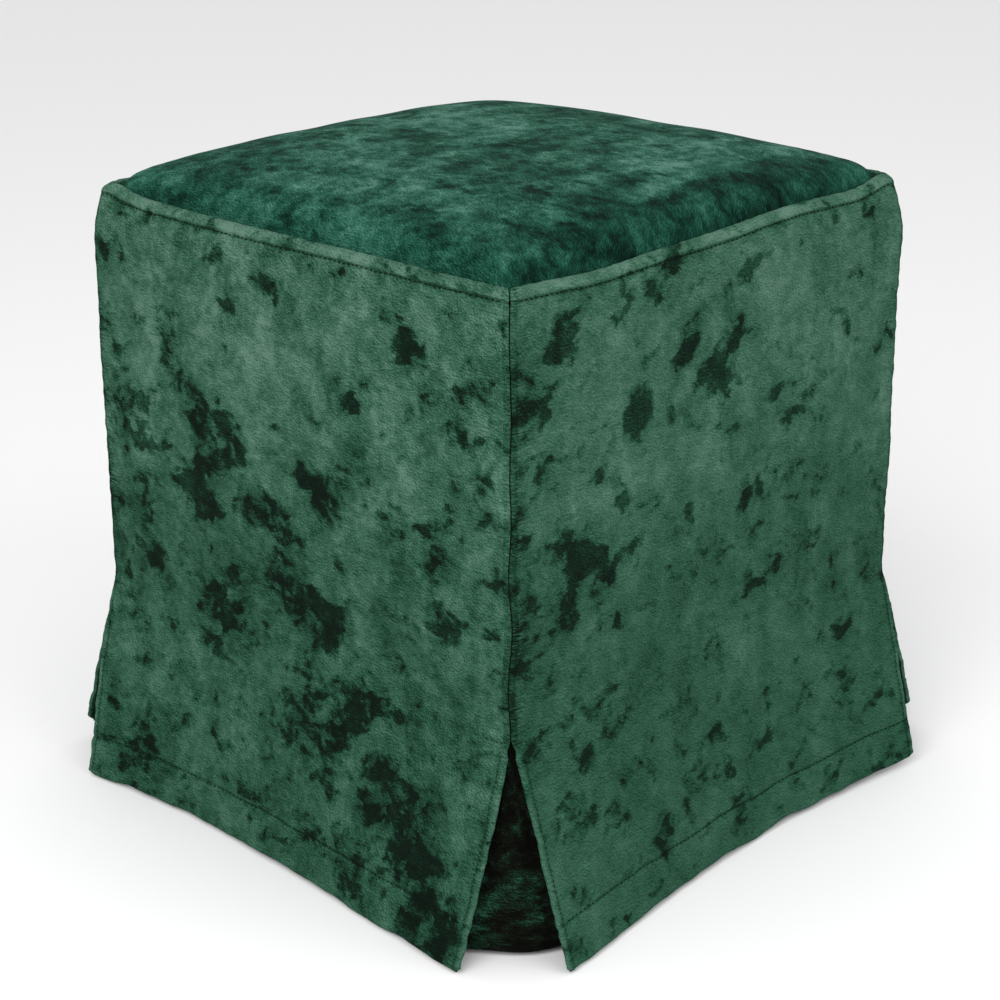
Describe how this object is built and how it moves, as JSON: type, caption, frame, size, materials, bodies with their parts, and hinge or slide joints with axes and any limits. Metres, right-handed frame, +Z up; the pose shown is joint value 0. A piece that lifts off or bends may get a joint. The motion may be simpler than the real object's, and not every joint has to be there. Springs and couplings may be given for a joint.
{
  "type": "cube pouf stool: a padded block with a fitted pleated cover",
  "caption": "Square padded pouf stool in a fitted crushed-velvet cover with a domed top, a stitched ridge round its edge and corner kick pleats.",
  "frame": {"origin": "on the floor under the middle of the stool", "axes": "+Z up; -Y is the outward direction of the front panel, +X of the right panel"},
  "size_m": [0.4995, 0.4986, 0.464],
  "materials": {
    "velvet_side": "crushed velvet, green, with dark crushed blotches and a soft sheen",
    "velvet_top": "crushed velvet, deeper bluish green where its pile is seen along the nap",
    "velvet_underlay": "crushed velvet in the shade of the pleat, nearly black green",
    "block_cloth": "plain dark woven base cloth"
  },
  "bodies": {
    "root": {"padded_block": "block_cloth", "top_panel": "velvet_top", "side_panel_front": "velvet_side", "side_panel_right": "velvet_side", "side_panel_back": "velvet_side", "side_panel_left": "velvet_side", "pleat_underlay_front_right": "velvet_underlay", "pleat_underlay_right_back": "velvet_underlay", "pleat_underlay_back_left": "velvet_underlay", "pleat_underlay_left_front": "velvet_underlay"}
  },
  "joints": []
}
